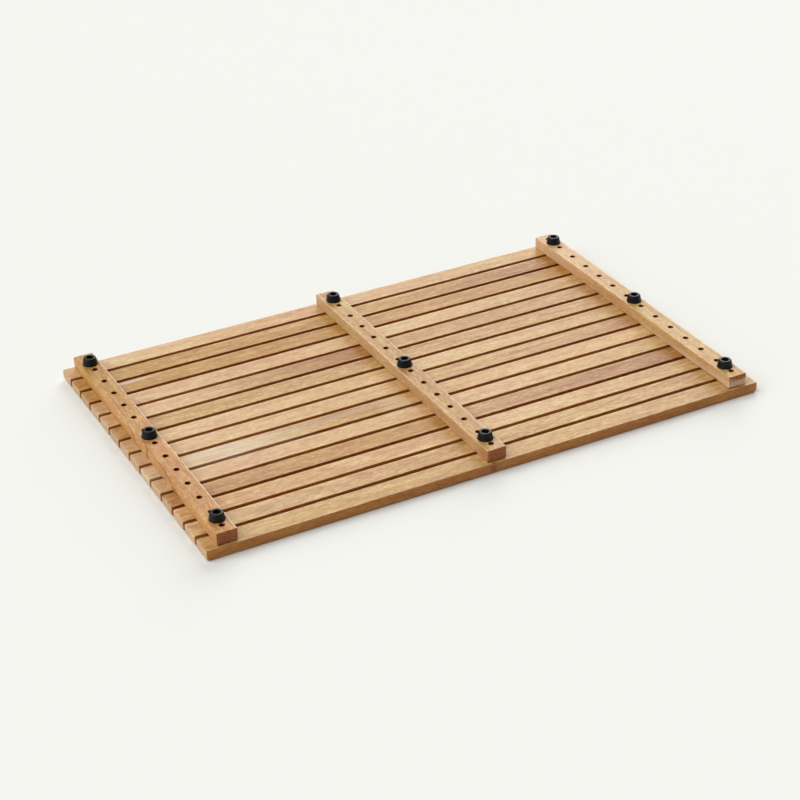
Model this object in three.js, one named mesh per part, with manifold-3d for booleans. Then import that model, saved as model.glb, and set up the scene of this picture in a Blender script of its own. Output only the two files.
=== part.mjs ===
// A slatted wooden bath mat (duckboard), lying on its tread face, so that its feet point up.
// Millimetres. X runs along the slats, Y across them and Z up. The origin is the middle of the
// tread face, on the plane that the mat lies on.
import * as THREE from "three";
import { mergeVertices } from "three/addons/utils/BufferGeometryUtils.js";
import Module from "manifold-3d";

// Slats
const SLAT_COUNT = 14;
const SLAT_LENGTH = 800;
const SLAT_WIDTH = 30.5;
const SLAT_GAP = 6.1;
const SLAT_THICKNESS = 15;
const TREAD_EDGE_RADIUS = 2.5; // long edges of the tread face
const UPPER_EDGE_RADIUS = 1.2; // long edges next to the battens
const TREAD_END_RADIUS = 5; // end edges of the tread face
const UPPER_END_RADIUS = 1.8; // end edges next to the battens

// Battens
const BATTEN_NAMES = ["left", "middle", "right"];
const BATTEN_WIDTH = 28;
const BATTEN_THICKNESS = 17;
const BATTEN_EDGE_RADIUS = 1.5;
const BATTEN_END_INSET = 4; // from the mat's long side to the batten's end
const SLAT_OVERHANG = 16; // from the end batten's outer face to the slats' ends
const SEAM = 0.3; // open joint between the battens and the slats

// Slat screws: one through each batten into each slat, sunk in a deep counterbore
const COUNTERBORE_DIAMETER = 7.8;
const COUNTERBORE_DEPTH = 8;
const SLAT_SCREW_HEAD_DIAMETER = 6.4;
const SLAT_SCREW_HEAD_HEIGHT = 2.2;
const SLAT_SCREW_SHANK_DIAMETER = 3.5;
const SLAT_SCREW_BITE = 10; // length of thread in the slat
const OUTER_SCREW_SHIFT = 3.5; // the outermost screws sit this far inboard of their slats' middles
const RUNNER_WIDTH = 0.8; // strip in the seam that joins a row of screws into one solid
const RUNNER_CLEARANCE = 0.1; // from the strip to the wood above and below it

// Rubber feet
const FOOT_BASE_DIAMETER = 20.9;
const FOOT_TOP_DIAMETER = 17;
const FOOT_HEIGHT = 10.2;
const FOOT_BASE_BAND = 1.2; // height of the upright band at the base
const FOOT_RIM_RADIUS = 2;
const FOOT_RECESS_DIAMETER = 9.6;
const FOOT_RECESS_DEPTH = 5.5;

// Foot screws
const FOOT_SCREW_HEAD_DIAMETER = 7.6;
const FOOT_SCREW_HEAD_HEIGHT = 2.4;
const FOOT_SCREW_SHANK_DIAMETER = 3.8;
const FOOT_SCREW_BITE = 11; // length of thread in the batten

// Fits and facets
const HOLE_CLEARANCE = 0.3; // radial, between a screw's shank and its hole
const TIP_LENGTH = 2.5; // a screw's point
const TIP_CLEARANCE = 0.8; // from a screw's point to the bottom of its pilot hole
const CUT_EXCESS = 1; // how far a cutting tool stands out of the face that it enters
const ARC_DIVISIONS = 1; // a quarter-round edge has twice this many facets
const FOOT_SIDES = 20;
const SCREW_SIDES = 8;
const HOLE_SIDES = 8;

// Heights of the stacked layers
const BATTEN_BOTTOM = SLAT_THICKNESS + SEAM;
const BATTEN_TOP = BATTEN_BOTTOM + BATTEN_THICKNESS;
const COUNTERBORE_FLOOR = BATTEN_TOP - COUNTERBORE_DEPTH;

// Places across the mat
const SLAT_PITCH = SLAT_WIDTH + SLAT_GAP;
const MAT_WIDTH = SLAT_COUNT * SLAT_WIDTH + (SLAT_COUNT - 1) * SLAT_GAP;
const BATTEN_LENGTH = MAT_WIDTH - 2 * BATTEN_END_INSET;
const BATTEN_REACH = SLAT_LENGTH / 2 - SLAT_OVERHANG - BATTEN_WIDTH / 2;

const slatNumbers = Array.from({ length: SLAT_COUNT }, (_, index) => index + 1);
const footGaps = [1, Math.floor(SLAT_COUNT / 2), SLAT_COUNT - 1];
const footRowNames = ["back", "centre", "front"];

const slatY = (number) => ((SLAT_COUNT + 1) / 2 - number) * SLAT_PITCH;
const gapY = (gap) => (slatY(gap) + slatY(gap + 1)) / 2;
const battenX = (index) => ((2 * index) / (BATTEN_NAMES.length - 1) - 1) * BATTEN_REACH;
const battenXs = BATTEN_NAMES.map((_, index) => battenX(index));

// The outermost slats' screws stand inboard, to keep clear of the battens' ends.
function screwY(number) {
  if (number === 1) return slatY(number) - OUTER_SCREW_SHIFT;
  if (number === SLAT_COUNT) return slatY(number) + OUTER_SCREW_SHIFT;
  return slatY(number);
}

const material = (color, roughness, metalness) =>
  new THREE.MeshStandardMaterial({ color, roughness, metalness });
const SLAT_WOOD = material(0xd2a678, 0.6, 0);
const BATTEN_WOOD = material(0xcf9f69, 0.6, 0);
const RUBBER = material(0x1c1c1e, 0.35, 0);
const SCREW_STEEL = material(0x8f8d88, 0.35, 1);

const wasm = await Module();
wasm.setup();

// A closed three.js geometry as a solid that can be joined and cut.
function solidOf(geometry) {
  const bare = geometry.clone();
  bare.deleteAttribute("normal");
  bare.deleteAttribute("uv");
  const merged = mergeVertices(bare, 1e-4);
  return new wasm.Manifold(
    new wasm.Mesh({
      numProp: 3,
      vertProperties: new Float32Array(merged.attributes.position.array),
      triVerts: new Uint32Array(merged.index.array),
    }),
  );
}

function geometryOf(solid) {
  const mesh = solid.getMesh();
  const geometry = new THREE.BufferGeometry();
  geometry.setAttribute("position", new THREE.BufferAttribute(mesh.vertProperties, 3));
  geometry.setIndex(new THREE.BufferAttribute(mesh.triVerts, 1));
  geometry.computeVertexNormals();
  return geometry;
}

// A rectangle centred on x = 0 that stands on y = 0, with rounded lower and upper corners.
function roundedOutline(width, height, lowerRadius, upperRadius) {
  const half = width / 2;
  const outline = new THREE.Shape();
  outline.absarc(half - lowerRadius, lowerRadius, lowerRadius, -Math.PI / 2, 0);
  outline.absarc(half - upperRadius, height - upperRadius, upperRadius, 0, Math.PI / 2);
  outline.absarc(upperRadius - half, height - upperRadius, upperRadius, Math.PI / 2, Math.PI);
  outline.absarc(lowerRadius - half, lowerRadius, lowerRadius, Math.PI, 1.5 * Math.PI);
  outline.closePath();
  return outline;
}

const X_AXIS = new THREE.Vector3(1, 0, 0);
const Y_AXIS = new THREE.Vector3(0, 1, 0);
const Z_AXIS = new THREE.Vector3(0, 0, 1);

// An outline drawn in Y and Z, drawn out along X, with its middle at x = 0.
function extrudeAlongX(outline, length) {
  const geometry = new THREE.ExtrudeGeometry(outline, {
    depth: length,
    bevelEnabled: false,
    curveSegments: ARC_DIVISIONS,
  });
  geometry.translate(0, 0, -length / 2);
  return geometry.applyMatrix4(new THREE.Matrix4().makeBasis(Y_AXIS, Z_AXIS, X_AXIS));
}

// The same bar turned a quarter round Z, so that it runs along Y.
function extrudeAlongY(outline, length) {
  return extrudeAlongX(outline, length).rotateZ(Math.PI / 2);
}

// A round solid on the Z axis from (radius, height) points between its two ends on the axis.
function turned(profile, sides) {
  const points = profile.map(([radius, height]) => new THREE.Vector2(radius, height));
  return new THREE.LatheGeometry(points, sides).rotateX(Math.PI / 2);
}

// A straight round tool from one height to another, at x and y.
function drill(diameter, x, y, bottom, top) {
  const radius = diameter / 2;
  const profile = [
    [0, bottom],
    [radius, bottom],
    [radius, top],
    [0, top],
  ];
  return solidOf(turned(profile, HOLE_SIDES).translate(x, y, 0));
}

function cutAway(solid, tools) {
  return tools.reduce((left, tool) => left.subtract(tool), solid);
}

// A screw on the Z axis whose head rests at height 0, with a plain shank and a point.
function screwGeometry(headDiameter, headHeight, shankDiameter, reach) {
  const headRadius = headDiameter / 2;
  const shankRadius = shankDiameter / 2;
  const crownRadius = headRadius * 0.7; // the top of a pan head is narrower than its seat
  const profile = [
    [0, -reach],
    [shankRadius, TIP_LENGTH - reach],
    [shankRadius, 0],
    [headRadius, 0],
    [headRadius, headHeight / 2],
    [crownRadius, headHeight],
    [0, headHeight],
  ];
  return turned(profile, SCREW_SIDES);
}

const slatScrewHole = SLAT_SCREW_SHANK_DIAMETER + 2 * HOLE_CLEARANCE;
const slatScrewTip = SLAT_THICKNESS - SLAT_SCREW_BITE;
const footScrewHole = FOOT_SCREW_SHANK_DIAMETER + 2 * HOLE_CLEARANCE;

// A slat: rounded long edges and rounded ends, with a pilot hole under each batten.
function slatGeometry(number) {
  const section = roundedOutline(SLAT_WIDTH, SLAT_THICKNESS, TREAD_EDGE_RADIUS, UPPER_EDGE_RADIUS);
  const side = roundedOutline(SLAT_LENGTH, SLAT_THICKNESS, TREAD_END_RADIUS, UPPER_END_RADIUS);
  const bar = solidOf(extrudeAlongX(section, SLAT_LENGTH));
  const sideView = solidOf(extrudeAlongY(side, SLAT_WIDTH));
  const pilots = battenXs.map((x) =>
    drill(
      slatScrewHole,
      x,
      screwY(number) - slatY(number),
      slatScrewTip - TIP_CLEARANCE,
      SLAT_THICKNESS + CUT_EXCESS,
    ),
  );
  return geometryOf(cutAway(bar.intersect(sideView), pilots));
}

// A batten: rounded edges, a counterbored hole over each slat and a pilot hole for each foot.
function battenGeometry() {
  const round = BATTEN_EDGE_RADIUS;
  const section = roundedOutline(BATTEN_WIDTH, BATTEN_THICKNESS, round, round);
  const side = roundedOutline(BATTEN_LENGTH, BATTEN_THICKNESS, round, round);
  const bar = solidOf(extrudeAlongY(section, BATTEN_LENGTH).translate(0, 0, BATTEN_BOTTOM));
  const sideView = solidOf(extrudeAlongX(side, BATTEN_WIDTH).translate(0, 0, BATTEN_BOTTOM));
  const above = BATTEN_TOP + CUT_EXCESS;
  const counterbores = slatNumbers.map((number) =>
    drill(COUNTERBORE_DIAMETER, 0, screwY(number), COUNTERBORE_FLOOR, above),
  );
  const throughHoles = slatNumbers.map((number) =>
    drill(slatScrewHole, 0, screwY(number), BATTEN_BOTTOM - CUT_EXCESS, above),
  );
  const footPilots = footGaps.map((gap) =>
    drill(footScrewHole, 0, gapY(gap), BATTEN_TOP - FOOT_SCREW_BITE - TIP_CLEARANCE, above),
  );
  const tools = [...counterbores, ...throughHoles, ...footPilots];
  return geometryOf(cutAway(bar.intersect(sideView), tools));
}

// The screws of one batten. On the real mat they are separate; here a thin strip hidden in the
// seam, which the mat doesn't have, joins each row into one solid.
function slatScrewRowGeometry() {
  const reach = COUNTERBORE_FLOOR - slatScrewTip;
  const screw = screwGeometry(
    SLAT_SCREW_HEAD_DIAMETER,
    SLAT_SCREW_HEAD_HEIGHT,
    SLAT_SCREW_SHANK_DIAMETER,
    reach,
  );
  const screws = slatNumbers.map((number) =>
    solidOf(screw.clone().translate(0, screwY(number), COUNTERBORE_FLOOR)),
  );
  const runnerLength = screwY(1) - screwY(SLAT_COUNT);
  const runnerHeight = SEAM - 2 * RUNNER_CLEARANCE;
  const runner = new THREE.BoxGeometry(RUNNER_WIDTH, runnerLength, runnerHeight);
  runner.translate(0, 0, SLAT_THICKNESS + SEAM / 2);
  return geometryOf(screws.reduce((row, one) => row.add(one), solidOf(runner)));
}

// A foot on the Z axis: a rubber cone with a rounded rim, a recess for the screw's head and a
// hole for its shank.
function footGeometry() {
  const baseRadius = FOOT_BASE_DIAMETER / 2;
  const topRadius = FOOT_TOP_DIAMETER / 2;
  const recessRadius = FOOT_RECESS_DIAMETER / 2;
  const holeRadius = footScrewHole / 2;
  const recessFloor = FOOT_HEIGHT - FOOT_RECESS_DEPTH;
  const rimCentre = new THREE.Vector2(topRadius - FOOT_RIM_RADIUS, FOOT_HEIGHT - FOOT_RIM_RADIUS);
  const rim = [0, 1 / 2, 1].map((share) => {
    const angle = (share * Math.PI) / 2;
    return [
      rimCentre.x + FOOT_RIM_RADIUS * Math.cos(angle),
      rimCentre.y + FOOT_RIM_RADIUS * Math.sin(angle),
    ];
  });
  const profile = [
    [holeRadius, 0],
    [baseRadius, 0],
    [baseRadius, FOOT_BASE_BAND],
    ...rim,
    [recessRadius, FOOT_HEIGHT],
    [recessRadius, recessFloor],
    [holeRadius, recessFloor],
    [holeRadius, 0],
  ];
  return turned(profile, FOOT_SIDES);
}

// The screw that holds a foot on: its head stands on the recess's floor.
function footScrewGeometry() {
  const reach = FOOT_HEIGHT - FOOT_RECESS_DEPTH + FOOT_SCREW_BITE;
  return screwGeometry(
    FOOT_SCREW_HEAD_DIAMETER,
    FOOT_SCREW_HEAD_HEIGHT,
    FOOT_SCREW_SHANK_DIAMETER,
    reach,
  );
}

function piece(name, geometry, look, x = 0, y = 0, z = 0) {
  const mesh = new THREE.Mesh(geometry, look);
  mesh.name = name;
  mesh.position.set(x, y, z);
  return mesh;
}

const mat = new THREE.Group();

for (const number of slatNumbers) {
  const name = `slat_${String(number).padStart(2, "0")}`;
  mat.add(piece(name, slatGeometry(number), SLAT_WOOD, 0, slatY(number)));
}

const battenShape = battenGeometry();
const screwRowShape = slatScrewRowGeometry();
const footShape = footGeometry();
const footScrewShape = footScrewGeometry();
const recessFloorHeight = BATTEN_TOP + FOOT_HEIGHT - FOOT_RECESS_DEPTH;

BATTEN_NAMES.forEach((side, index) => {
  const x = battenX(index);
  mat.add(piece(`batten_${side}`, battenShape, BATTEN_WOOD, x));
  mat.add(piece(`slat_screws_${side}`, screwRowShape, SCREW_STEEL, x));
  footGaps.forEach((gap, row) => {
    const place = `${side}_${footRowNames[row]}`;
    mat.add(piece(`foot_${place}`, footShape, RUBBER, x, gapY(gap), BATTEN_TOP));
    mat.add(
      piece(`foot_screw_${place}`, footScrewShape, SCREW_STEEL, x, gapY(gap), recessFloorHeight),
    );
  });
});

export default mat;
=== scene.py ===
"""The looks of a slatted teak bath mat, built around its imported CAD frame.

The mat lies on its tread face, so that its feet point up. Metres throughout: X runs along the
slats, Y across them and Z up. Every wooden bar is made in its own frame, with its grain along X,
and a batten's object is then turned a quarter round Z.
"""

import math
from collections import namedtuple

import bmesh
import bpy
from mathutils import Matrix, Vector


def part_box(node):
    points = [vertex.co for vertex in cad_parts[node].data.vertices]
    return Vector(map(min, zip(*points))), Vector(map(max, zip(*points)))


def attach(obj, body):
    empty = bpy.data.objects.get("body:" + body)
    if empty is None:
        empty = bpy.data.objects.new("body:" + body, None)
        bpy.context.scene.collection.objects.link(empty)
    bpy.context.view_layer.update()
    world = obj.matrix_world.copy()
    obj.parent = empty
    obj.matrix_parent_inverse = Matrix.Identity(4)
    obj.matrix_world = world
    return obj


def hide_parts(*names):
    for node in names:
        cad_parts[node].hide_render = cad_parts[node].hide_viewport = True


MM = 0.001
QUARTER_TURN = math.pi / 2

# Roundings of the wooden bars: their long edges, the edges of their ends and their upright edges
Rounding = namedtuple("Rounding", "lower_edge upper_edge lower_end upper_end corner")
SLAT_ROUNDING = Rounding(2.5 * MM, 1.2 * MM, 5 * MM, 1.8 * MM, 1.2 * MM)
BATTEN_ROUNDING = Rounding(1.5 * MM, 1.5 * MM, 1.5 * MM, 1.5 * MM, 1.2 * MM)
ARC_STEPS = 6  # facets in a quarter turn of rounding
SHARP_ANGLE = math.radians(35)  # an edge that turns more than this is drawn sharp

# Screws and their holes
OUTER_SCREW_SHIFT = 3.5 * MM  # the outermost screws sit this far inboard of their slats' middles
COUNTERBORE_RADIUS = 3.9 * MM
COUNTERBORE_DEPTH = 8 * MM
COUNTERBORE_LIP = 0.15 * MM
SLAT_SHANK_RADIUS = 1.75 * MM
SLAT_HEAD_HEIGHT = 2.2 * MM
FOOT_SHANK_RADIUS = 1.9 * MM
FOOT_HEAD_HEIGHT = 2.4 * MM
HOLE_CLEARANCE = 0.3 * MM
TIP_CLEARANCE = 0.8 * MM
TIP_LENGTH = 2.5 * MM
THREAD_PITCH = 1.4 * MM
THREAD_DEPTH = 0.35 * MM
THREAD_STEPS = 6  # rings for each turn of thread
HEAD_CROWN_SHARE = 0.35  # of a head's height, up to where it starts to dome
SCREW_SIDES = 24
HOLE_SIDES = 32
OVERRUN = 1 * MM  # how far a cutting tool sticks out of the wood

# Cross recess of a screw head, at its top and its floor: the arms' reach and half their width are
# shares of the head's radius, and the height is a share of the head's height.
RecessLevel = namedtuple("RecessLevel", "arm half_width height")
RECESS_LEVELS = (RecessLevel(0.62, 0.15, 1.1), RecessLevel(0.30, 0.10, 0.25))

# Rubber feet
FOOT_BAND_HEIGHT = 1.2 * MM  # the flared band round the base
FOOT_BAND_TAPER = 0.1 * MM
FOOT_TOP_RADIUS = 8.5 * MM
FOOT_RECESS_RADIUS = 4.8 * MM
FOOT_BASE_ROUNDING = 0.4 * MM
FOOT_BAND_ROUNDING = 0.6 * MM
FOOT_RIM_ROUNDING = 2.0 * MM
FOOT_RECESS_ROUNDING = 0.5 * MM
FOOT_SIDES = 72
FILLET_STEPS = 5

# Camera, in metres and degrees
CAMERA_PLACE = (-1.0752, -2.1067, 1.3614)
CAMERA_HEADING = 26.854  # from +Y towards +X
CAMERA_PITCH = 30.335  # below the horizon
CAMERA_ROLL = -1.679
CAMERA_LENS = 90.13

# Studio: a light's direction points from the mat to it, and its softness is in degrees
Light = namedtuple("Light", "name direction softness strength colour")
LIGHTS = (
    Light("main_softbox", (-0.52, 0.14, 0.84), 55, 2.20, (1.0, 0.995, 0.98)),
    Light("back_softbox", (0.58, 0.65, 0.46), 44, 1.92, (1.0, 1.0, 0.99)),
    Light("left_fill", (-0.88, -0.12, 0.45), 50, 0.50, (1.0, 0.99, 0.97)),
)
SKY_COLOUR = (0.97, 0.985, 1.0, 1)
ZENITH_STRENGTH = 0.17
HORIZON_STRENGTH = 0.75
HORIZON_HEIGHT = 0.42  # sine of the elevation where the bright horizon has faded out
FLOOR_RADIUS = 400
FLOOR_SIDES = 64
FLOOR_COLOUR = (0.80, 0.808, 0.775, 1)
FLOOR_CLOUD_COLOUR = (0.7, 0.71, 0.72, 1)
FLOOR_CLOUD_SHARE = 0.02
FLOOR_ROUGHNESS = 0.9
FLOOR_GLOSS = 0.1
FLOOR_RELIEF = (0.1 * MM, 0.1)  # depth and strength, as for every relief below


def srgb(text):
    """A hex colour as the linear red, green, blue and alpha that a shader takes."""
    channels = [int(text[i : i + 2], 16) / 255 for i in (0, 2, 4)]
    linear = [c / 12.92 if c <= 0.04045 else ((c + 0.055) / 1.055) ** 2.4 for c in channels]
    return (*linear, 1.0)


# Oiled teak, from its palest boards to its brownest
TONES = {
    "ivory": srgb("cbaa7d"),
    "straw": srgb("c6a473"),
    "pale": srgb("c29b68"),
    "sand": srgb("bb965f"),
    "honey": srgb("b68f58"),
    "copper": srgb("bb8c52"),
    "rose": srgb("b18652"),
    "gold": srgb("b28845"),
    "amber": srgb("ac7f38"),
    "umber": srgb("a06f34"),
}
ASH_GREY = srgb("d2c2a6")
MAUVE_GREY = srgb("a58c74")
OLIVE_GREY = srgb("a08a5c")
SAPWOOD_GREY = srgb("d0b48e")
RUSSET = srgb("9a5c28")
DARK_KNOT = srgb("6e3216")
GOLDEN_TINT = (1.02, 1.01, 0.89, 1)
ROSY_TINT = (1.02, 0.96, 1.04, 1)
# Paler colour along the bars' edges: a painted highlight
EDGE_HIGHLIGHT_TINT = (1.10, 1.10, 1.15, 1)
# Painted shade in the battens' screw holes
BORE_SHADE_TINT = (0.42, 0.20, 0.12, 1)
GRAIN_LINE_TINT = (0.52, 0.42, 0.36, 1)

# How a kind of bar differs by face: the tint of its sides, which also paints light and shade on
# them, the colour of its sawn ends and how much of that shows there, and whether screw holes run
# down its middle, whose walls then get painted shade.
BarLook = namedtuple("BarLook", "side_tint end_colour end_share bored")
# A slat's sides come out darker and warmer: partly its side grain, partly painted shade on its front
# face and down the gaps.
SLAT_LOOK = BarLook((0.80, 0.51, 0.20, 1), srgb("cdb69c"), 0.5, False)
# A batten's sides come out paler: painted light on both its sides.
BATTEN_LOOK = BarLook((1.10, 1.12, 1.30, 1), srgb("985204"), 0.97, True)

# A noise: its cells to the metre along, across and up, and what is added to a material's seed
Grain = namedtuple("Grain", "stretch detail roughness shift", defaults=(3.0, 0.5, 0))
WOOD_GRAINS = {
    "broad": Grain((4, 40, 40), 2.0),
    "patchy": Grain((28, 110, 110), 3.0, 0.6, 8),
    "streaks": Grain((9, 190, 190), 3.0, 0.6, 1),
    "flecks": Grain((120, 430, 430), 3.0, 0.75, 2),
    "fibres": Grain((60, 1900, 1900), 2.0, 0.6, 4),
    "pores": Grain((110, 2600, 2600), 1.0, 0.5, 6),
}
RING_BEND = Grain((5, 26, 26), 2.0, 0.5, 3)
RING_RIPPLE = Grain((16, 120, 120), 2.0, 0.5, 5)
PATCH_WAVER = Grain((14, 60, 60), 3.0, 0.5, 7)
PATCH_STREAKS = Grain((12, 420, 420), 3.0, 0.5, 9)
LINE_WAVER = Grain((9, 20, 20), 2.0)
LINE_STRENGTH = Grain((22, 20, 20), 2.0, 0.5, 2)

# How far each noise swings the wood's density, which makes it darker and warmer
DENSITY_SWINGS = {"broad": 0.35, "patchy": 0.75, "streaks": 0.45, "flecks": 1.1, "fibres": 0.35}
FIGURED_FLECK_SWING = 0.8  # more for the flecks, in a board with all its figure
FIGURED_RING_DENSITY = 0.26
PORE_DENSITY = 0.30
END_RING_DENSITY = 0.7  # more for the rings, on sawn ends
HUE_SWINGS = {"broad": 1.6, "patchy": 1.4}

# Growth rings
RING_WIDTH = 3.4 * MM
RING_BEND_REACH = 7 * MM
RING_RIPPLE_REACH = 1.6 * MM
LATE_WOOD_POWER = 3  # how narrow the dark part of a ring is

# Relief and roughness of oiled wood
WOOD_HEIGHTS = {"fibres": 0.45, "flecks": 0.35, "rings": -0.3, "pores": -0.7}
WOOD_RELIEF = (0.12 * MM, 0.8)
WOOD_ROUGHNESS = 0.52
FIBRE_ROUGHNESS = 0.14
PORE_ROUGHNESS = 0.12
EDGE_POLISH = 0.38  # how much smoother worn edges are
WOOD_GLOSS = 0.45

# Values at which a soft step starts and ends
PORE_STEP = (0.64, 0.74)
HUE_STEP = (0.2, 0.8)
FACING_STEP = (0.55, 0.95)  # how squarely a surface faces across or along the bar
RING_EDGE_STEP = (1.0, 0.93)
PATCH_STEP = (1.25, 0.5)  # in half sizes of the patch
PATCH_STREAK_STEP = (0.25, 0.60)
LINE_STEP = (0.55 * MM, 0.10 * MM)
LINE_STRENGTH_STEP = (0.36, 0.56)
EDGE_STEP = (2.4 * MM, 1.2 * MM)
PATCH_WAVER_REACH = 1.4  # in half sizes of the patch
LINE_WAVER_REACH = 3 * MM

# A bore's painted shade fades out over these: off its wall, before the batten's ends, below its top.
BORE_WALL_FADE = (0.6 * MM, 0.2 * MM)
BORE_END_FADE = (2 * MM, 3 * MM)
BORE_TOP_FADE = (0.05 * MM, 0.4 * MM)

# Seeds: each bar's noises are this far from the next one's
SEED_STEP = 10.0
BATTEN_SEED = 200.0

# Rubber, screw steel and the floor. Each pair of colours is dark, then light.
RUBBER_COLOURS = (srgb("08080a"), srgb("101114"))
RUBBER_GRAIN = Grain((2600, 2600, 2600), 2.0)
RUBBER_CLOUD = Grain((160, 160, 160), shift=4)
RUBBER_CLOUD_STEP = (0.35, 0.7)
RUBBER_ROUGHNESS = 0.40
RUBBER_CLOUD_ROUGHNESS = 0.2
RUBBER_GRAIN_ROUGHNESS = 0.1
RUBBER_RELIEF = (0.05 * MM, 0.6)
RUBBER_GLOSS = 0.2
SLAT_SCREW_COLOURS = (srgb("8b8882"), srgb("b9b6ae"))
# The foot screws are drawn dark: painted shade, as they sit down in the feet's recesses
FOOT_SCREW_COLOURS = (srgb("474543"), srgb("6f6c68"))
STEEL_MOTTLE = Grain((900, 900, 900))
STEEL_MOTTLE_STEP = (0.3, 0.7)
STEEL_SCRATCHES = Grain((3000, 3000, 500), 2.0, shift=2)
STEEL_ROUGHNESS = 0.34
STEEL_MOTTLE_ROUGHNESS = 0.25
STEEL_SCRATCH_ROUGHNESS = 0.15
STEEL_RELIEF = (0.02 * MM, 0.5)
FLOOR_CLOUD = Grain((2, 2, 2))

# How a board was sawn and how it looks. Tones are at the four stations along the board: near its
# left end, left and right of its middle, and near its right end. A batten is made with its front
# end to the left. The pith is the middle of the log's rings, in millimetres across and up from
# the middle of the board's foot, and the tilts say how fast the board runs off it. Figure is how
# strong the flecks and rings are.
TONE_STATIONS = (0.08, 0.42, 0.58, 0.92)
Board = namedtuple(
    "Board",
    "tones pith tilt figure patches lines",
    defaults=((0.02, 0.01), 0.5, (), ()),
)
# A patch of another colour in the wood, and how much of that colour shows. Its middle and its
# reach, which is half its size, are along, across and up in the bar's own frame.
Patch = namedtuple("Patch", "colour share middle reach")
# A dark growth line, which is a leaning plane in the wood: how far across it lies at the middle of
# the bar's foot, and how far it moves across for each metre that it runs along and that it rises.
Line = namedtuple("Line", "across drift lean")

# Darkens the left tip of many of the slats, out beyond the left batten
DARK_TIP = Patch(RUSSET, 0.32, (-0.40, 0.0, 0.015), (0.018, 0.03, 0.02))
SLAT_BOARDS = (
    Board(("ivory", "pale", "straw", "sand"), (30, -90), patches=(DARK_TIP,)),
    Board(("gold", "gold", "gold", "umber"), (-10, -70), figure=0.8),
    Board(
        ("gold", "amber", "gold", "amber"),
        (22, -80),
        patches=(
            Patch(ASH_GREY, 0.8, (-0.335, 0.009, 0.015), (0.05, 0.004, 0.01)),
            DARK_TIP,
        ),
    ),
    Board(("ivory", "pale", "straw", "sand"), (-35, -95), patches=(DARK_TIP,)),
    Board(
        ("ivory", "umber", "honey", "rose"),
        (14, -60),
        patches=(Patch(RUSSET, 0.32, (-0.055, 0.0, 0.015), (0.06, 0.03, 0.02)), DARK_TIP),
    ),
    Board(("honey", "honey", "honey", "honey"), (-20, -70), figure=0.8, patches=(DARK_TIP,)),
    Board(("ivory", "pale", "straw", "sand"), (40, -80), patches=(DARK_TIP,)),
    Board(("ivory", "pale", "honey", "rose"), (-28, -90), patches=(DARK_TIP,)),
    Board(
        ("pale", "gold", "pale", "pale"),
        (18, -70),
        patches=(
            Patch(ASH_GREY, 0.75, (-0.31, 0.0, 0.015), (0.12, 0.03, 0.02)),
            Patch(MAUVE_GREY, 0.75, (-0.14, 0.005, 0.015), (0.08, 0.006, 0.01)),
            # Makes the wood paler just left of the middle batten
            Patch(SAPWOOD_GREY, 0.5, (-0.045, 0.0, 0.015), (0.025, 0.03, 0.02)),
        ),
    ),
    Board(("ivory", "pale", "straw", "sand"), (-40, -85), patches=(DARK_TIP,)),
    Board(("rose", "gold", "rose", "umber"), (9, -50), figure=0.9),
    Board(("pale", "pale", "straw", "sand"), (-8, -45), (0.05, 0.03), 0.9),
    Board(
        ("straw", "sand", "sand", "honey"),
        (12, -40),
        (-0.04, 0.05),
        1.0,
        (Patch(OLIVE_GREY, 0.4, (-0.30, 0.0, 0.015), (0.08, 0.008, 0.01)),),
    ),
    Board(
        ("sand", "honey", "sand", "honey"),
        (-16, -60),
        figure=0.7,
        patches=(Patch(DARK_KNOT, 0.7, (-0.007, -0.015, 0.008), (0.005, 0.004, 0.010)),),
    ),
)
BATTEN_BOARDS = {
    "left": Board(
        ("copper", "copper", "copper", "gold"),
        (10, -45),
        figure=0.8,
        lines=(Line(0.0115, -0.095, 0.0), Line(0.0150, -0.095, 0.1), Line(0.0100, -0.03, 0.1)),
    ),
    "middle": Board(
        ("honey", "rose", "honey", "sand"),
        (-14, -50),
        figure=0.8,
        patches=(
            Patch(SAPWOOD_GREY, 0.3, (0.0, 0.014, 0.0085), (0.26, 0.004, 0.02)),
            Patch(RUSSET, 0.7, (-0.245, 0.014, 0.0085), (0.03, 0.005, 0.012)),
        ),
    ),
    "right": Board(
        ("honey", "sand", "sand", "straw"),
        (16, -60),
        figure=0.6,
        patches=(Patch(SAPWOOD_GREY, 0.95, (-0.25, 0.0, 0.0), (0.22, 0.1, 0.012)),),
    ),
}


# ---------------------------------------------------------------- mesh making


def new_piece(name, mesh, place=(0, 0, 0), turn=0.0):
    """An object in the scene, at a place and turned round Z."""
    piece = bpy.data.objects.new(name, mesh)
    piece.location = place
    piece.rotation_euler = (0, 0, turn)
    bpy.context.scene.collection.objects.link(piece)
    return piece


def mesh_from(name, vertices, faces):
    mesh = bpy.data.meshes.new(name)
    mesh.from_pydata(vertices, [], faces)
    mesh.validate()
    return mesh


def apply_modifiers(piece):
    depsgraph = bpy.context.evaluated_depsgraph_get()
    mesh = bpy.data.meshes.new_from_object(piece.evaluated_get(depsgraph))
    piece.modifiers.clear()
    piece.data = mesh


def cut(piece, cutter_mesh):
    """Takes a closed mesh's solid out of a piece. The mesh is in the piece's own frame."""
    cutter = new_piece("cutter", cutter_mesh, piece.location, piece.rotation_euler.z)
    modifier = piece.modifiers.new("cut", "BOOLEAN")
    modifier.operation = "DIFFERENCE"
    modifier.solver = "EXACT"
    modifier.object = cutter
    apply_modifiers(piece)
    bpy.data.objects.remove(cutter)


def smooth(piece):
    """Smooth shading that keeps broad faces flat and real edges sharp."""
    piece.data.shade_smooth()
    piece.data.set_sharp_from_angle(angle=SHARP_ANGLE)
    modifier = piece.modifiers.new("weighted_normals", "WEIGHTED_NORMAL")
    modifier.keep_sharp = True


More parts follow.
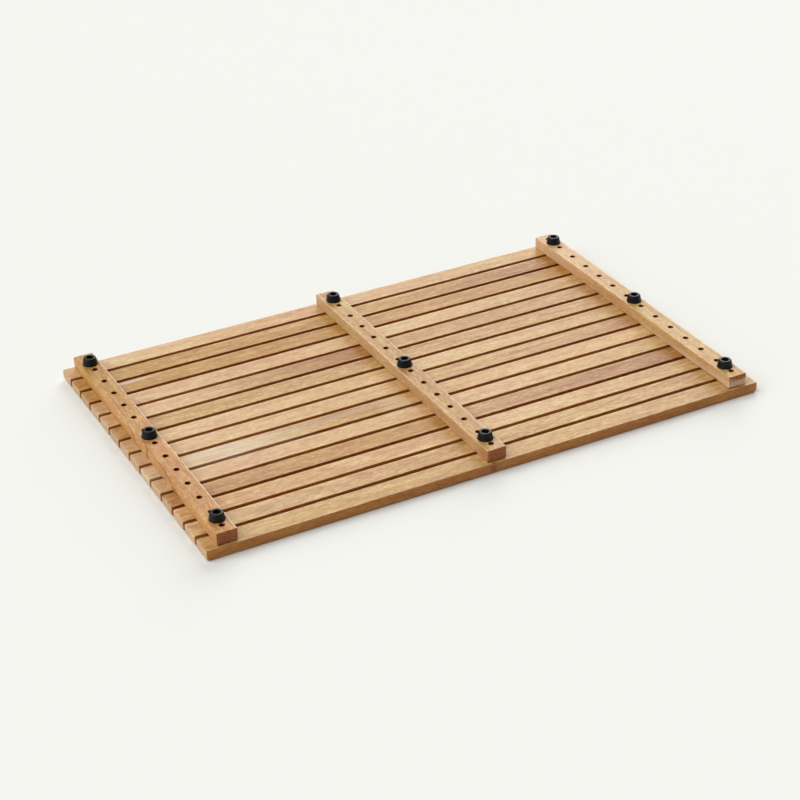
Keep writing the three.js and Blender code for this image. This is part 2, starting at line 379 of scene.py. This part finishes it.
def section_outline(half_width, bottom, top, lower_radius, upper_radius):
    """A rounded rectangle as (across, up) points, always the same number of them."""
    corners = (
        (half_width - lower_radius, bottom + lower_radius, lower_radius, -1),
        (half_width - upper_radius, top - upper_radius, upper_radius, 0),
        (upper_radius - half_width, top - upper_radius, upper_radius, 1),
        (lower_radius - half_width, bottom + lower_radius, lower_radius, 2),
    )
    points = []
    for across, up, radius, quarter in corners:
        for step in range(ARC_STEPS + 1):
            angle = (quarter + step / ARC_STEPS) * QUARTER_TURN
            points.append((across + radius * math.cos(angle), up + radius * math.sin(angle)))
    return points


def inset(radius, distance):
    """How far a rounding of this radius draws a face in, at a distance from the bar's end."""
    if distance >= radius:
        return 0.0
    return radius - math.sqrt(radius**2 - (radius - distance) ** 2)


def end_distances(rounding):
    """Distances from a bar's end at which its roundings need a section, from 0 inwards."""
    radii = {rounding.lower_end, rounding.upper_end, rounding.corner}
    shares = [1 - math.cos(step / ARC_STEPS * QUARTER_TURN) for step in range(ARC_STEPS + 1)]
    to_the_micrometre = 6
    return sorted({round(radius * share, to_the_micrometre) for radius in radii for share in shares})


def bar_mesh(name, size, rounding):
    """A bar along X, centred on X and Y and standing on Z 0, with rounded edges and ends."""
    length, width, height = size
    distances = end_distances(rounding)
    left = [(distance - length / 2, distance) for distance in distances]
    right = [(length / 2 - distance, distance) for distance in reversed(distances)]
    vertices = []
    for x, distance in left + right:
        outline = section_outline(
            width / 2 - inset(rounding.corner, distance),
            inset(rounding.lower_end, distance),
            height - inset(rounding.upper_end, distance),
            rounding.lower_edge,
            rounding.upper_edge,
        )
        vertices += [(x, across, up) for across, up in outline]
    count = len(outline)
    last = len(vertices) - count
    faces = [tuple(reversed(range(count))), tuple(range(last, len(vertices)))]
    for first in range(0, last, count):
        for i in range(count):
            j = (i + 1) % count
            faces.append((first + i, first + j, first + count + j, first + count + i))
    return mesh_from(name, vertices, faces)


def turned_mesh(name, profile, sides, swell=None):
    """A mesh of revolution round Z from (radius, height) points.

    A profile that starts and ends on the axis is closed there, and any other one closes on
    itself. swell(height, angle) is added to the radius of a point, for a thread.
    """
    mesh = bmesh.new()
    rings = []
    for radius, height in profile:
        if radius == 0:
            rings.append([mesh.verts.new((0, 0, height))])
            continue
        ring = []
        for side in range(sides):
            angle = side / sides * math.tau
            reach = radius + (swell(height, angle) if swell else 0)
            ring.append(mesh.verts.new((reach * math.cos(angle), reach * math.sin(angle), height)))
        rings.append(ring)
    pairs = list(zip(rings, rings[1:]))
    if len(rings[0]) > 1:
        pairs.append((rings[-1], rings[0]))
    for lower, upper in pairs:
        for side in range(sides):
            following = (side + 1) % sides
            corners = [lower[side % len(lower)], lower[following % len(lower)]]
            corners += [upper[following % len(upper)], upper[side % len(upper)]]
            mesh.faces.new(list(dict.fromkeys(corners)))
    bmesh.ops.recalc_face_normals(mesh, faces=mesh.faces)
    made = bpy.data.meshes.new(name)
    mesh.to_mesh(made)
    mesh.free()
    return made


def repeated_mesh(name, mesh, places):
    """One mesh holding a copy of another at each place."""
    joined = bmesh.new()
    for place in places:
        first = len(joined.verts)
        joined.from_mesh(mesh)
        joined.verts.ensure_lookup_table()
        bmesh.ops.translate(joined, verts=joined.verts[first:], vec=Vector(place))
    made = bpy.data.meshes.new(name)
    joined.to_mesh(made)
    joined.free()
    return made


def fillet(before, corner, after, radius):
    """The points of the arc that rounds a profile's corner."""
    to_before = (before - corner).normalized()
    to_after = (after - corner).normalized()
    half_angle = to_before.angle(to_after) / 2
    centre = corner + (to_before + to_after).normalized() * radius / math.sin(half_angle)
    start = (corner + to_before * radius / math.tan(half_angle) - centre).normalized()
    end = (corner + to_after * radius / math.tan(half_angle) - centre).normalized()
    shares = [step / FILLET_STEPS for step in range(FILLET_STEPS + 1)]
    return [centre + start.slerp(end, share) * radius for share in shares]


def filleted(corners):
    """A closed profile from (radius, height, fillet) corners, as (radius, height) points."""
    points = [Vector(corner[:2]) for corner in corners]
    profile = []
    for i, (_, _, radius) in enumerate(corners):
        if radius:
            profile += fillet(points[i - 1], points[i], points[(i + 1) % len(points)], radius)
        else:
            profile.append(points[i])
    return [tuple(point) for point in profile]


# ---------------------------------------------------------------- materials


class Graph:
    """A material's nodes, joined as they are made. A socket stands for each node's result."""

    def __init__(self, name):
        self.material = bpy.data.materials.new(name)
        self.material.use_nodes = True
        self.tree = self.material.node_tree
        self.shader = self.tree.nodes["Principled BSDF"]
        self.coordinates = self.tree.nodes.new("ShaderNodeTexCoord")

    def feed(self, socket, value):
        """Joins another socket to this one, or sets it to a plain value."""
        if isinstance(value, bpy.types.NodeSocket):
            self.tree.links.new(value, socket)
        else:
            socket.default_value = value

    def node(self, kind, inputs, **settings):
        node = self.tree.nodes.new(kind)
        for name, value in settings.items():
            setattr(node, name, value)
        for name, value in inputs.items():
            self.feed(node.inputs[name], value)
        return node

    def math(self, operation, *values):
        inputs = dict(enumerate(values))
        return self.node("ShaderNodeMath", inputs, operation=operation).outputs[0]

    def vector(self, operation, *values):
        inputs = dict(enumerate(values))
        return self.node("ShaderNodeVectorMath", inputs, operation=operation).outputs[0]

    def parts(self, vector):
        return self.node("ShaderNodeSeparateXYZ", {"Vector": vector}).outputs

    def combine(self, x, y, z):
        return self.node("ShaderNodeCombineXYZ", {"X": x, "Y": y, "Z": z}).outputs[0]

    def length(self, vector):
        return self.node("ShaderNodeVectorMath", {0: vector}, operation="LENGTH").outputs["Value"]

    def noise(self, vector, grain, seed=0.0):
        """Noise of about 0.5 on average."""
        inputs = {
            "Vector": self.vector("MULTIPLY", vector, grain.stretch),
            "W": seed + grain.shift,
            "Scale": 1.0,
            "Detail": grain.detail,
            "Roughness": grain.roughness,
        }
        return self.node("ShaderNodeTexNoise", inputs, noise_dimensions="4D").outputs["Fac"]

    def rise(self, value, start, end):
        """A soft step from 0 to 1, as the value goes from start to end. Either may be higher."""
        inputs = {"Value": value, "From Min": start, "From Max": end}
        return self.node("ShaderNodeMapRange", inputs, interpolation_type="SMOOTHSTEP").outputs[0]

    def swing(self, noise, amount):
        """A noise about 0.5 as an offset about 0."""
        centred = self.math("SUBTRACT", noise, 0.5)
        return self.math("MULTIPLY", centred, amount)

    def total(self, *values):
        result = values[0]
        for value in values[1:]:
            result = self.math("ADD", result, value)
        return result

    def mix(self, share, first, second, blend="MIX"):
        inputs = {0: share, 6: first, 7: second}
        return self.node("ShaderNodeMix", inputs, data_type="RGBA", blend_type=blend).outputs[2]

    def tinted(self, colour, tint):
        return self.mix(1.0, colour, tint, "MULTIPLY")

    def deepened(self, colour, power):
        """A colour raised to a power. Above one it gets both darker and warmer."""
        return self.node("ShaderNodeGamma", {"Color": colour, "Gamma": power}).outputs[0]

    def ramp(self, value, stops):
        """A colour ramp from (position, colour) stops, smooth between them."""
        node = self.node("ShaderNodeValToRGB", {"Fac": value})
        ramp = node.color_ramp
        ramp.interpolation = "EASE"
        while len(ramp.elements) < len(stops):
            ramp.elements.new(0.5)
        for element, (position, colour) in zip(ramp.elements, stops):
            element.position = position
            element.color = colour
        return node.outputs["Color"]

    def bump(self, height, distance, strength):
        inputs = {"Height": height, "Distance": distance, "Strength": strength}
        return self.node("ShaderNodeBump", inputs).outputs["Normal"]

    def finish(self, colour, roughness, normal, **fixed):
        """Feeds the shader. fixed are its sockets with one plain value all over."""
        self.feed(self.shader.inputs["Base Color"], colour)
        self.feed(self.shader.inputs["Roughness"], roughness)
        self.feed(self.shader.inputs["Normal"], normal)
        for name, value in fixed.items():
            self.shader.inputs[name.replace("_", " ")].default_value = value
        return self.material


def board_tone(graph, board, x, length):
    """The board's colour along its length, before any grain."""
    share = graph.math("ADD", graph.math("DIVIDE", x, length), 0.5)
    tones = [TONES[name] for name in board.tones]
    return graph.ramp(share, tuple(zip(TONE_STATIONS, tones)))


def growth_rings(graph, board, place, seed):
    """How dark a growth ring is at a place: 0 between rings, rising to 1 at a ring's edge."""
    pith_across, pith_up = (value * MM for value in board.pith)
    x, y, z = graph.parts(place)
    bend = graph.swing(graph.noise(place, RING_BEND, seed), RING_BEND_REACH)
    ripple = graph.swing(graph.noise(place, RING_RIPPLE, seed), RING_RIPPLE_REACH)
    across = graph.total(y, graph.math("MULTIPLY", x, board.tilt[0]), bend, -pith_across)
    height = graph.total(z, graph.math("MULTIPLY", x, board.tilt[1]), ripple, -pith_up)
    radius = graph.length(graph.combine(0, across, height))
    phase = graph.math("FRACT", graph.math("DIVIDE", radius, RING_WIDTH))
    late_wood = graph.math("POWER", phase, LATE_WOOD_POWER)
    return graph.math("MULTIPLY", late_wood, graph.rise(phase, *RING_EDGE_STEP))


def wood_figure(graph, board, place, seed):
    """Everything that a board's figure is made of, by name."""
    figure = {name: graph.noise(place, grain, seed) for name, grain in WOOD_GRAINS.items()}
    figure["pores"] = graph.rise(figure["pores"], *PORE_STEP)
    figure["rings"] = growth_rings(graph, board, place, seed)
    return figure


def wood_hue(graph, tone, figure):
    """Makes a tone golden in some places and rosy in others."""
    swings = [graph.swing(figure[name], amount) for name, amount in HUE_SWINGS.items()]
    share = graph.rise(graph.total(*swings, 0.5), *HUE_STEP)
    return graph.mix(share, graph.tinted(tone, GOLDEN_TINT), graph.tinted(tone, ROSY_TINT))


def wood_density(graph, board, figure):
    """The density of the wood, about 1."""
    swings = dict(DENSITY_SWINGS)
    swings["flecks"] += FIGURED_FLECK_SWING * board.figure
    return graph.total(
        1.0,
        *(graph.swing(figure[name], amount) for name, amount in swings.items()),
        graph.math("MULTIPLY", figure["rings"], FIGURED_RING_DENSITY * board.figure),
        graph.math("MULTIPLY", figure["pores"], PORE_DENSITY),
    )


def by_face(graph, colour, look, density, rings):
    """Gives a bar's sides and its sawn ends their own colours, by the way that they face. The side
    tint also paints shade on a slat's sides and light on a batten's.
    """
    facing = graph.parts(graph.vector("ABSOLUTE", graph.coordinates.outputs["Normal"]))
    side = graph.rise(facing[1], *FACING_STEP)
    end = graph.rise(facing[0], *FACING_STEP)
    # Painted shade on a slat's sides, painted light on a batten's sides
    colour = graph.mix(side, colour, graph.tinted(colour, look.side_tint))
    end_density = graph.total(density, graph.math("MULTIPLY", rings, END_RING_DENSITY))
    end_share = graph.math("MULTIPLY", end, look.end_share)
    return graph.mix(end_share, colour, graph.deepened(look.end_colour, end_density))


def patched(graph, colour, patch, place, seed):
    """Shows a patch through the colour, soft at its edges and broken into streaks."""
    waver = graph.swing(graph.noise(place, PATCH_WAVER, seed), PATCH_WAVER_REACH)
    away = graph.vector("DIVIDE", graph.vector("SUBTRACT", place, patch.middle), patch.reach)
    inside = graph.rise(graph.total(graph.length(away), waver), *PATCH_STEP)
    streaks = graph.rise(graph.noise(place, PATCH_STREAKS, seed), *PATCH_STREAK_STEP)
    share = graph.math("MULTIPLY", inside, graph.math("MULTIPLY", streaks, patch.share))
    return graph.mix(share, colour, patch.colour)


def lined(graph, colour, line, place, seed):
    """Draws one dark growth line."""
    x, y, z = graph.parts(place)
    waver = graph.swing(graph.noise(place, LINE_WAVER, seed), LINE_WAVER_REACH)
    drift = graph.math("MULTIPLY", x, -line.drift)
    lean = graph.math("MULTIPLY", z, -line.lean)
    away = graph.math("ABSOLUTE", graph.total(y, drift, lean, waver, -line.across))
    strength = graph.rise(graph.noise(place, LINE_STRENGTH, seed), *LINE_STRENGTH_STEP)
    share = graph.math("MULTIPLY", graph.rise(away, *LINE_STEP), strength)
    return graph.mix(share, colour, graph.tinted(colour, GRAIN_LINE_TINT))


def painted_bore_shade(graph, colour, place, size):
    """Paints shade on the walls of the holes down a batten's middle, clear of its outer faces."""
    length, _, height = size
    x, y, z = graph.parts(place)
    wall = COUNTERBORE_RADIUS + COUNTERBORE_LIP
    near_middle = graph.rise(graph.math("ABSOLUTE", y), *(wall + fade for fade in BORE_WALL_FADE))
    off_ends = graph.rise(graph.math("ABSOLUTE", x), *(length / 2 - fade for fade in BORE_END_FADE))
    below_top = graph.rise(z, *(height - fade for fade in BORE_TOP_FADE))
    share = graph.math("MULTIPLY", near_middle, graph.math("MULTIPLY", off_ends, below_top))
    return graph.mix(share, colour, graph.tinted(colour, BORE_SHADE_TINT))


def worn_and_highlit_edges(graph, place, size):
    """1 along a bar's edges: they are drawn paler, as a painted highlight, and made smoother, from
    sanding and wear.
    """
    half_size = tuple(value / 2 for value in size)
    centred = graph.vector("ABSOLUTE", graph.vector("SUBTRACT", place, (0, 0, half_size[2])))
    gaps = graph.parts(graph.vector("SUBTRACT", half_size, centred))
    sums = [graph.math("ADD", gaps[i], gaps[(i + 1) % 3]) for i in range(3)]
    nearest = graph.math("MINIMUM", sums[0], graph.math("MINIMUM", sums[1], sums[2]))
    return graph.rise(nearest, *EDGE_STEP)


def teak(name, board, seed, size, look):
    """Oiled teak with its grain along the piece's own X."""
    graph = Graph(name)
    place = graph.coordinates.outputs["Object"]
    figure = wood_figure(graph, board, place, seed)
    density = wood_density(graph, board, figure)
    tone = board_tone(graph, board, graph.parts(place)[0], size[0])
    colour = graph.deepened(wood_hue(graph, tone, figure), density)
    colour = by_face(graph, colour, look, density, figure["rings"])
    for index, patch in enumerate(board.patches):
        colour = patched(graph, colour, patch, place, seed + index)
    for index, line in enumerate(board.lines):
        colour = lined(graph, colour, line, place, seed + index)
    # Painted shade on the walls of the screw holes
    if look.bored:
        colour = painted_bore_shade(graph, colour, place, size)
    edges = worn_and_highlit_edges(graph, place, size)
    # Painted highlight: the edges are drawn paler
    colour = graph.mix(edges, colour, graph.tinted(colour, EDGE_HIGHLIGHT_TINT))

    roughness = graph.total(
        WOOD_ROUGHNESS,
        graph.swing(figure["fibres"], FIBRE_ROUGHNESS),
        graph.math("MULTIPLY", figure["pores"], PORE_ROUGHNESS),
        graph.math("MULTIPLY", edges, -EDGE_POLISH),
    )
    heights = [graph.math("MULTIPLY", figure[part], share) for part, share in WOOD_HEIGHTS.items()]
    normal = graph.bump(graph.total(*heights), *WOOD_RELIEF)
    return graph.finish(colour, roughness, normal, Specular_IOR_Level=WOOD_GLOSS)


def rubber():
    """Moulded black rubber: a fine matt grain and a little dust in it."""
    graph = Graph("moulded_rubber")
    place = graph.coordinates.outputs["Object"]
    grain = graph.noise(place, RUBBER_GRAIN)
    cloud = graph.noise(place, RUBBER_CLOUD)
    colour = graph.mix(graph.rise(cloud, *RUBBER_CLOUD_STEP), *RUBBER_COLOURS)
    roughness = graph.total(
        RUBBER_ROUGHNESS,
        graph.swing(cloud, RUBBER_CLOUD_ROUGHNESS),
        graph.swing(grain, RUBBER_GRAIN_ROUGHNESS),
    )
    normal = graph.bump(grain, *RUBBER_RELIEF)
    return graph.finish(colour, roughness, normal, Specular_IOR_Level=RUBBER_GLOSS)


def steel(name, colours):
    """Zinc-plated screw steel, mottled by its plating."""
    graph = Graph(name)
    place = graph.coordinates.outputs["Object"]
    mottle = graph.noise(place, STEEL_MOTTLE)
    scratches = graph.noise(place, STEEL_SCRATCHES)
    colour = graph.mix(graph.rise(mottle, *STEEL_MOTTLE_STEP), *colours)
    roughness = graph.total(
        STEEL_ROUGHNESS,
        graph.swing(mottle, STEEL_MOTTLE_ROUGHNESS),
        graph.swing(scratches, STEEL_SCRATCH_ROUGHNESS),
    )
    normal = graph.bump(scratches, *STEEL_RELIEF)
    return graph.finish(colour, roughness, normal, Metallic=1.0)


# ---------------------------------------------------------------- the mat's pieces


def place_piece(piece, slot, material, *nodes):
    """Gives a piece its material, and puts it on the mat's body in place of its CAD nodes."""
    piece.data.materials.clear()
    piece.data.materials.append(material)
    smooth(piece)
    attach(piece, "root")
    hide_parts(*nodes)


def hole_mesh(radius, bottom, top):
    """A plain round tool for a pilot hole."""
    return turned_mesh("hole", [(0, bottom), (radius, bottom), (radius, top), (0, top)], HOLE_SIDES)


def counterbore_mesh(bottom, top):
    """A stepped tool from under a batten to over it: shank hole, counterbore and eased lip."""
    shank = SLAT_SHANK_RADIUS + HOLE_CLEARANCE
    seat = top - COUNTERBORE_DEPTH
    lip = COUNTERBORE_RADIUS + COUNTERBORE_LIP
    profile = [
        (0, bottom - OVERRUN),
        (shank, bottom - OVERRUN),
        (shank, seat),
        (COUNTERBORE_RADIUS, seat),
        (COUNTERBORE_RADIUS, top - COUNTERBORE_LIP),
        (lip, top),
        (lip, top + OVERRUN),
        (0, top + OVERRUN),
    ]
    return turned_mesh("counterbore", profile, HOLE_SIDES)


def screw_mesh(name, head_radius, head_height, shank_radius, reach):
    """A pan-head screw with a cross recess, its head's underside at Z 0 and its point below."""

    def thread(height, angle):
        if height >= -THREAD_DEPTH:
            return 0.0
        phase = (height / THREAD_PITCH - angle / math.tau) % 1
        return THREAD_DEPTH * (abs(2 * phase - 1) - 1)

    rings = round((reach - TIP_LENGTH) / THREAD_PITCH * THREAD_STEPS)
    shank = [(shank_radius, -(reach - TIP_LENGTH) * (1 - ring / rings)) for ring in range(rings + 1)]
    crown = HEAD_CROWN_SHARE * head_height
    dome = []
    for step in range(1, ARC_STEPS):
        angle = step / ARC_STEPS * QUARTER_TURN
        dome.append((head_radius * math.cos(angle), crown + (head_height - crown) * math.sin(angle)))
    profile = [(0, -reach), *shank, (head_radius, 0), (head_radius, crown), *dome, (0, head_height)]
    screw = new_piece(name, turned_mesh(name, profile, SCREW_SIDES, thread))
    cut(screw, cross_recess_mesh(head_radius, head_height))
    mesh = screw.data
    bpy.data.objects.remove(screw)
    return mesh


def cross_recess_mesh(head_radius, head_height):
    """The cross of a screwdriver's tip, which narrows as it goes down."""
    vertices = []
    for level in RECESS_LEVELS:
        arm, half = level.arm * head_radius, level.half_width * head_radius
        height = level.height * head_height
        for quarter in range(4):
            turn = Matrix.Rotation(quarter * QUARTER_TURN, 3, "Z")
            corners = ((arm, -half), (arm, half), (half, half))
            vertices += [turn @ Vector((x, y, height)) for x, y in corners]
    count = len(vertices) // 2
    faces = [tuple(range(count)), tuple(reversed(range(count, 2 * count)))]
    for i in range(count):
        j = (i + 1) % count
        faces.append((i, count + i, count + j, j))
    return mesh_from("cross_recess", vertices, faces)


def foot_mesh(base_radius, height, seat_height):
    """A truncated rubber cone with a rolled rim, a screw recess and a hole in its floor."""
    hole = FOOT_SHANK_RADIUS + HOLE_CLEARANCE
    corners = (
        (hole, 0, 0),
        (base_radius, 0, FOOT_BASE_ROUNDING),
        (base_radius - FOOT_BAND_TAPER, FOOT_BAND_HEIGHT, FOOT_BAND_ROUNDING),
        (FOOT_TOP_RADIUS, height, FOOT_RIM_ROUNDING),
        (FOOT_RECESS_RADIUS, height, FOOT_RECESS_ROUNDING),
        (FOOT_RECESS_RADIUS, seat_height, FOOT_RECESS_ROUNDING),
        (hole, seat_height, 0),
    )
    return turned_mesh("rubber_foot", filleted(corners), FOOT_SIDES)


def make_slats(slats, screw_lines, pilot_bottom):
    """The slats, each with a pilot hole under every batten."""
    battens = [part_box(f"batten_{side}") for side in BATTEN_BOARDS]
    batten_lines = [(lowest.x + highest.x) / 2 for lowest, highest in battens]
    size = slats[0][1] - slats[0][0]  # they are all the same
    for index, (board, (lowest, highest)) in enumerate(zip(SLAT_BOARDS, slats)):
        node = f"slat_{index + 1:02d}"
        name = f"teak_{node}"
        middle = (lowest.y + highest.y) / 2
        slat = new_piece(name, bar_mesh("slat", size, SLAT_ROUNDING), (0, middle, 0))
        pilot = hole_mesh(SLAT_SHANK_RADIUS + HOLE_CLEARANCE, pilot_bottom, highest.z + OVERRUN)
        pilots = [(x, screw_lines[index] - middle, 0) for x in batten_lines]
        cut(slat, repeated_mesh("pilots", pilot, pilots))
        material = teak(name, board, SEED_STEP * index, size, SLAT_LOOK)
        place_piece(slat, "slat_wood", material, node)


def make_batten(side, seed, screw_lines, foot_lines, foot_pilot_bottom):
    """A batten, made along X from 0 up, then turned and lifted to its place."""
    node = f"batten_{side}"
    name = f"teak_{node}"
    lowest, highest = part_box(node)
    width, length, height = highest - lowest
    size = (length, width, height)
    centre = (lowest + highest) / 2
    place = (centre.x, centre.y, lowest.z)
    batten = new_piece(name, bar_mesh("batten", size, BATTEN_ROUNDING), place, QUARTER_TURN)
    counterbores = [(y - centre.y, 0, 0) for y in screw_lines]
    cut(batten, repeated_mesh("counterbores", counterbore_mesh(0, height), counterbores))
    pilot_radius = FOOT_SHANK_RADIUS + HOLE_CLEARANCE
    pilot = hole_mesh(pilot_radius, foot_pilot_bottom - lowest.z, height + OVERRUN)
    pilots = [(y - centre.y, 0, 0) for y in foot_lines]
    cut(batten, repeated_mesh("pilots", pilot, pilots))
    material = teak(name, BATTEN_BOARDS[side], seed, size, BATTEN_LOOK)
    place_piece(batten, "batten_wood", material, node)


def make_slat_screws(side, screw_lines, material):
    """The row of screws that holds the slats to one batten."""
    node = f"slat_screws_{side}"
    lowest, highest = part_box(node)
    seat = highest.z - SLAT_HEAD_HEIGHT
    head_radius = (highest.x - lowest.x) / 2
    screw = screw_mesh(node, head_radius, SLAT_HEAD_HEIGHT, SLAT_SHANK_RADIUS, seat - lowest.z)
    row = repeated_mesh(node, screw, [(0, y, 0) for y in screw_lines])
    piece = new_piece(f"steel_{node}", row, ((lowest.x + highest.x) / 2, 0, seat))
    place_piece(piece, "screw_steel", material, node)


def make_foot(place, material, screw_material):
    """A rubber foot and the screw that holds it."""
    foot_node, screw_node = f"foot_{place}", f"foot_screw_{place}"
    lowest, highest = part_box(foot_node)
    screw_lowest, screw_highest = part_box(screw_node)
    centre = (lowest + highest) / 2
    seat = screw_highest.z - FOOT_HEAD_HEIGHT
    base_radius = (highest.x - lowest.x) / 2
    mesh = foot_mesh(base_radius, highest.z - lowest.z, seat - lowest.z)
    foot = new_piece(f"rubber_{foot_node}", mesh, (centre.x, centre.y, lowest.z))
    place_piece(foot, "foot_rubber", material, foot_node)
    head_radius = (screw_highest.x - screw_lowest.x) / 2
    reach = seat - screw_lowest.z
    mesh = screw_mesh(screw_node, head_radius, FOOT_HEAD_HEIGHT, FOOT_SHANK_RADIUS, reach)
    screw = new_piece(f"steel_{screw_node}", mesh, (centre.x, centre.y, seat))
    place_piece(screw, "foot_screw_steel", screw_material, screw_node)


def make_mat():
    """Every piece of the mat, at the places that its CAD nodes give."""
    slats = [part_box(f"slat_{number:02d}") for number in range(1, len(SLAT_BOARDS) + 1)]
    screw_lines = [(lowest.y + highest.y) / 2 for lowest, highest in slats]
    screw_lines[0] -= OUTER_SCREW_SHIFT
    screw_lines[-1] += OUTER_SCREW_SHIFT
    slat_screw_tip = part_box("slat_screws_left")[0].z
    make_slats(slats, screw_lines, slat_screw_tip - TIP_CLEARANCE)
    rows = ("back", "centre", "front")
    foot_lines = [sum(corner.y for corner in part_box(f"foot_left_{row}")) / 2 for row in rows]
    foot_screw_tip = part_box("foot_screw_left_back")[0].z
    black_rubber = rubber()
    slat_screw_steel = steel("zinc_steel", SLAT_SCREW_COLOURS)
    foot_screw_steel = steel("shade_painted_steel", FOOT_SCREW_COLOURS)
    for index, side in enumerate(BATTEN_BOARDS):
        seed = BATTEN_SEED + SEED_STEP * index
        make_batten(side, seed, screw_lines, foot_lines, foot_screw_tip - TIP_CLEARANCE)
        make_slat_screws(side, screw_lines, slat_screw_steel)
        for row in rows:
            make_foot(f"{side}_{row}", black_rubber, foot_screw_steel)


# ---------------------------------------------------------------- studio


def make_camera():
    """Aims the camera: it is rolled about its own axis, then pitched, then turned to its heading."""
    camera = bpy.data.objects.new("camera", bpy.data.cameras.new("camera"))
    camera.data.lens = CAMERA_LENS
    heading = Matrix.Rotation(-math.radians(CAMERA_HEADING), 4, "Z")
    pitch = Matrix.Rotation(math.radians(90 - CAMERA_PITCH), 4, "X")
    roll = Matrix.Rotation(math.radians(CAMERA_ROLL), 4, "Z")
    camera.matrix_world = Matrix.Translation(CAMERA_PLACE) @ heading @ pitch @ roll
    bpy.context.scene.collection.objects.link(camera)
    bpy.context.scene.camera = camera


def make_light(light):
    data = bpy.data.lights.new(light.name, "SUN")
    data.energy = light.strength
    data.angle = math.radians(light.softness)
    data.color = light.colour
    lamp = bpy.data.objects.new(light.name, data)
    lamp.rotation_euler = Vector(light.direction).to_track_quat("Z", "Y").to_euler()
    bpy.context.scene.collection.objects.link(lamp)


def make_floor():
    graph = Graph("studio_floor")
    place = graph.coordinates.outputs["Object"]
    cloud = graph.noise(place, FLOOR_CLOUD)
    share = graph.math("MULTIPLY", cloud, FLOOR_CLOUD_SHARE)
    colour = graph.mix(share, FLOOR_COLOUR, FLOOR_CLOUD_COLOUR)
    normal = graph.bump(cloud, *FLOOR_RELIEF)
    material = graph.finish(colour, FLOOR_ROUGHNESS, normal, Specular_IOR_Level=FLOOR_GLOSS)
    mesh = bmesh.new()
    bmesh.ops.create_circle(mesh, cap_ends=True, radius=FLOOR_RADIUS, segments=FLOOR_SIDES)
    made = bpy.data.meshes.new("studio_floor")
    mesh.to_mesh(made)
    mesh.free()
    made.materials.append(material)
    new_piece("studio_floor", made)


def make_world():
    """A white studio: its walls are bright down at the horizon, and its ceiling is dim."""
    world = bpy.data.worlds.new("studio_sky")
    world.use_nodes = True
    nodes, links = world.node_tree.nodes, world.node_tree.links
    direction = nodes.new("ShaderNodeTexCoord")
    parts = nodes.new("ShaderNodeSeparateXYZ")
    strength = nodes.new("ShaderNodeMapRange")
    strength.interpolation_type = "SMOOTHSTEP"
    strength.inputs["From Max"].default_value = HORIZON_HEIGHT
    strength.inputs["To Min"].default_value = HORIZON_STRENGTH
    strength.inputs["To Max"].default_value = ZENITH_STRENGTH
    background = nodes["Background"]
    background.inputs["Color"].default_value = SKY_COLOUR
    links.new(direction.outputs["Generated"], parts.inputs["Vector"])
    links.new(parts.outputs["Z"], strength.inputs["Value"])
    links.new(strength.outputs["Result"], background.inputs["Strength"])
    bpy.context.scene.world = world


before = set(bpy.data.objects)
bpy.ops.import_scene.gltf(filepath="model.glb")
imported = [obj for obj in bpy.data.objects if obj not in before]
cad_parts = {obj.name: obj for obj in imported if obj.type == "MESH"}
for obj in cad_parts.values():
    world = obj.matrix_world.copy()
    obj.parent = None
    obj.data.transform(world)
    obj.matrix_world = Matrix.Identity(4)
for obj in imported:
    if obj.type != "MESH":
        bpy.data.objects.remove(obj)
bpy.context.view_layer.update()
bpy.context.scene.view_settings.view_transform = "Standard"
make_camera()
make_world()
make_floor()
for studio_light in LIGHTS:
    make_light(studio_light)
make_mat()
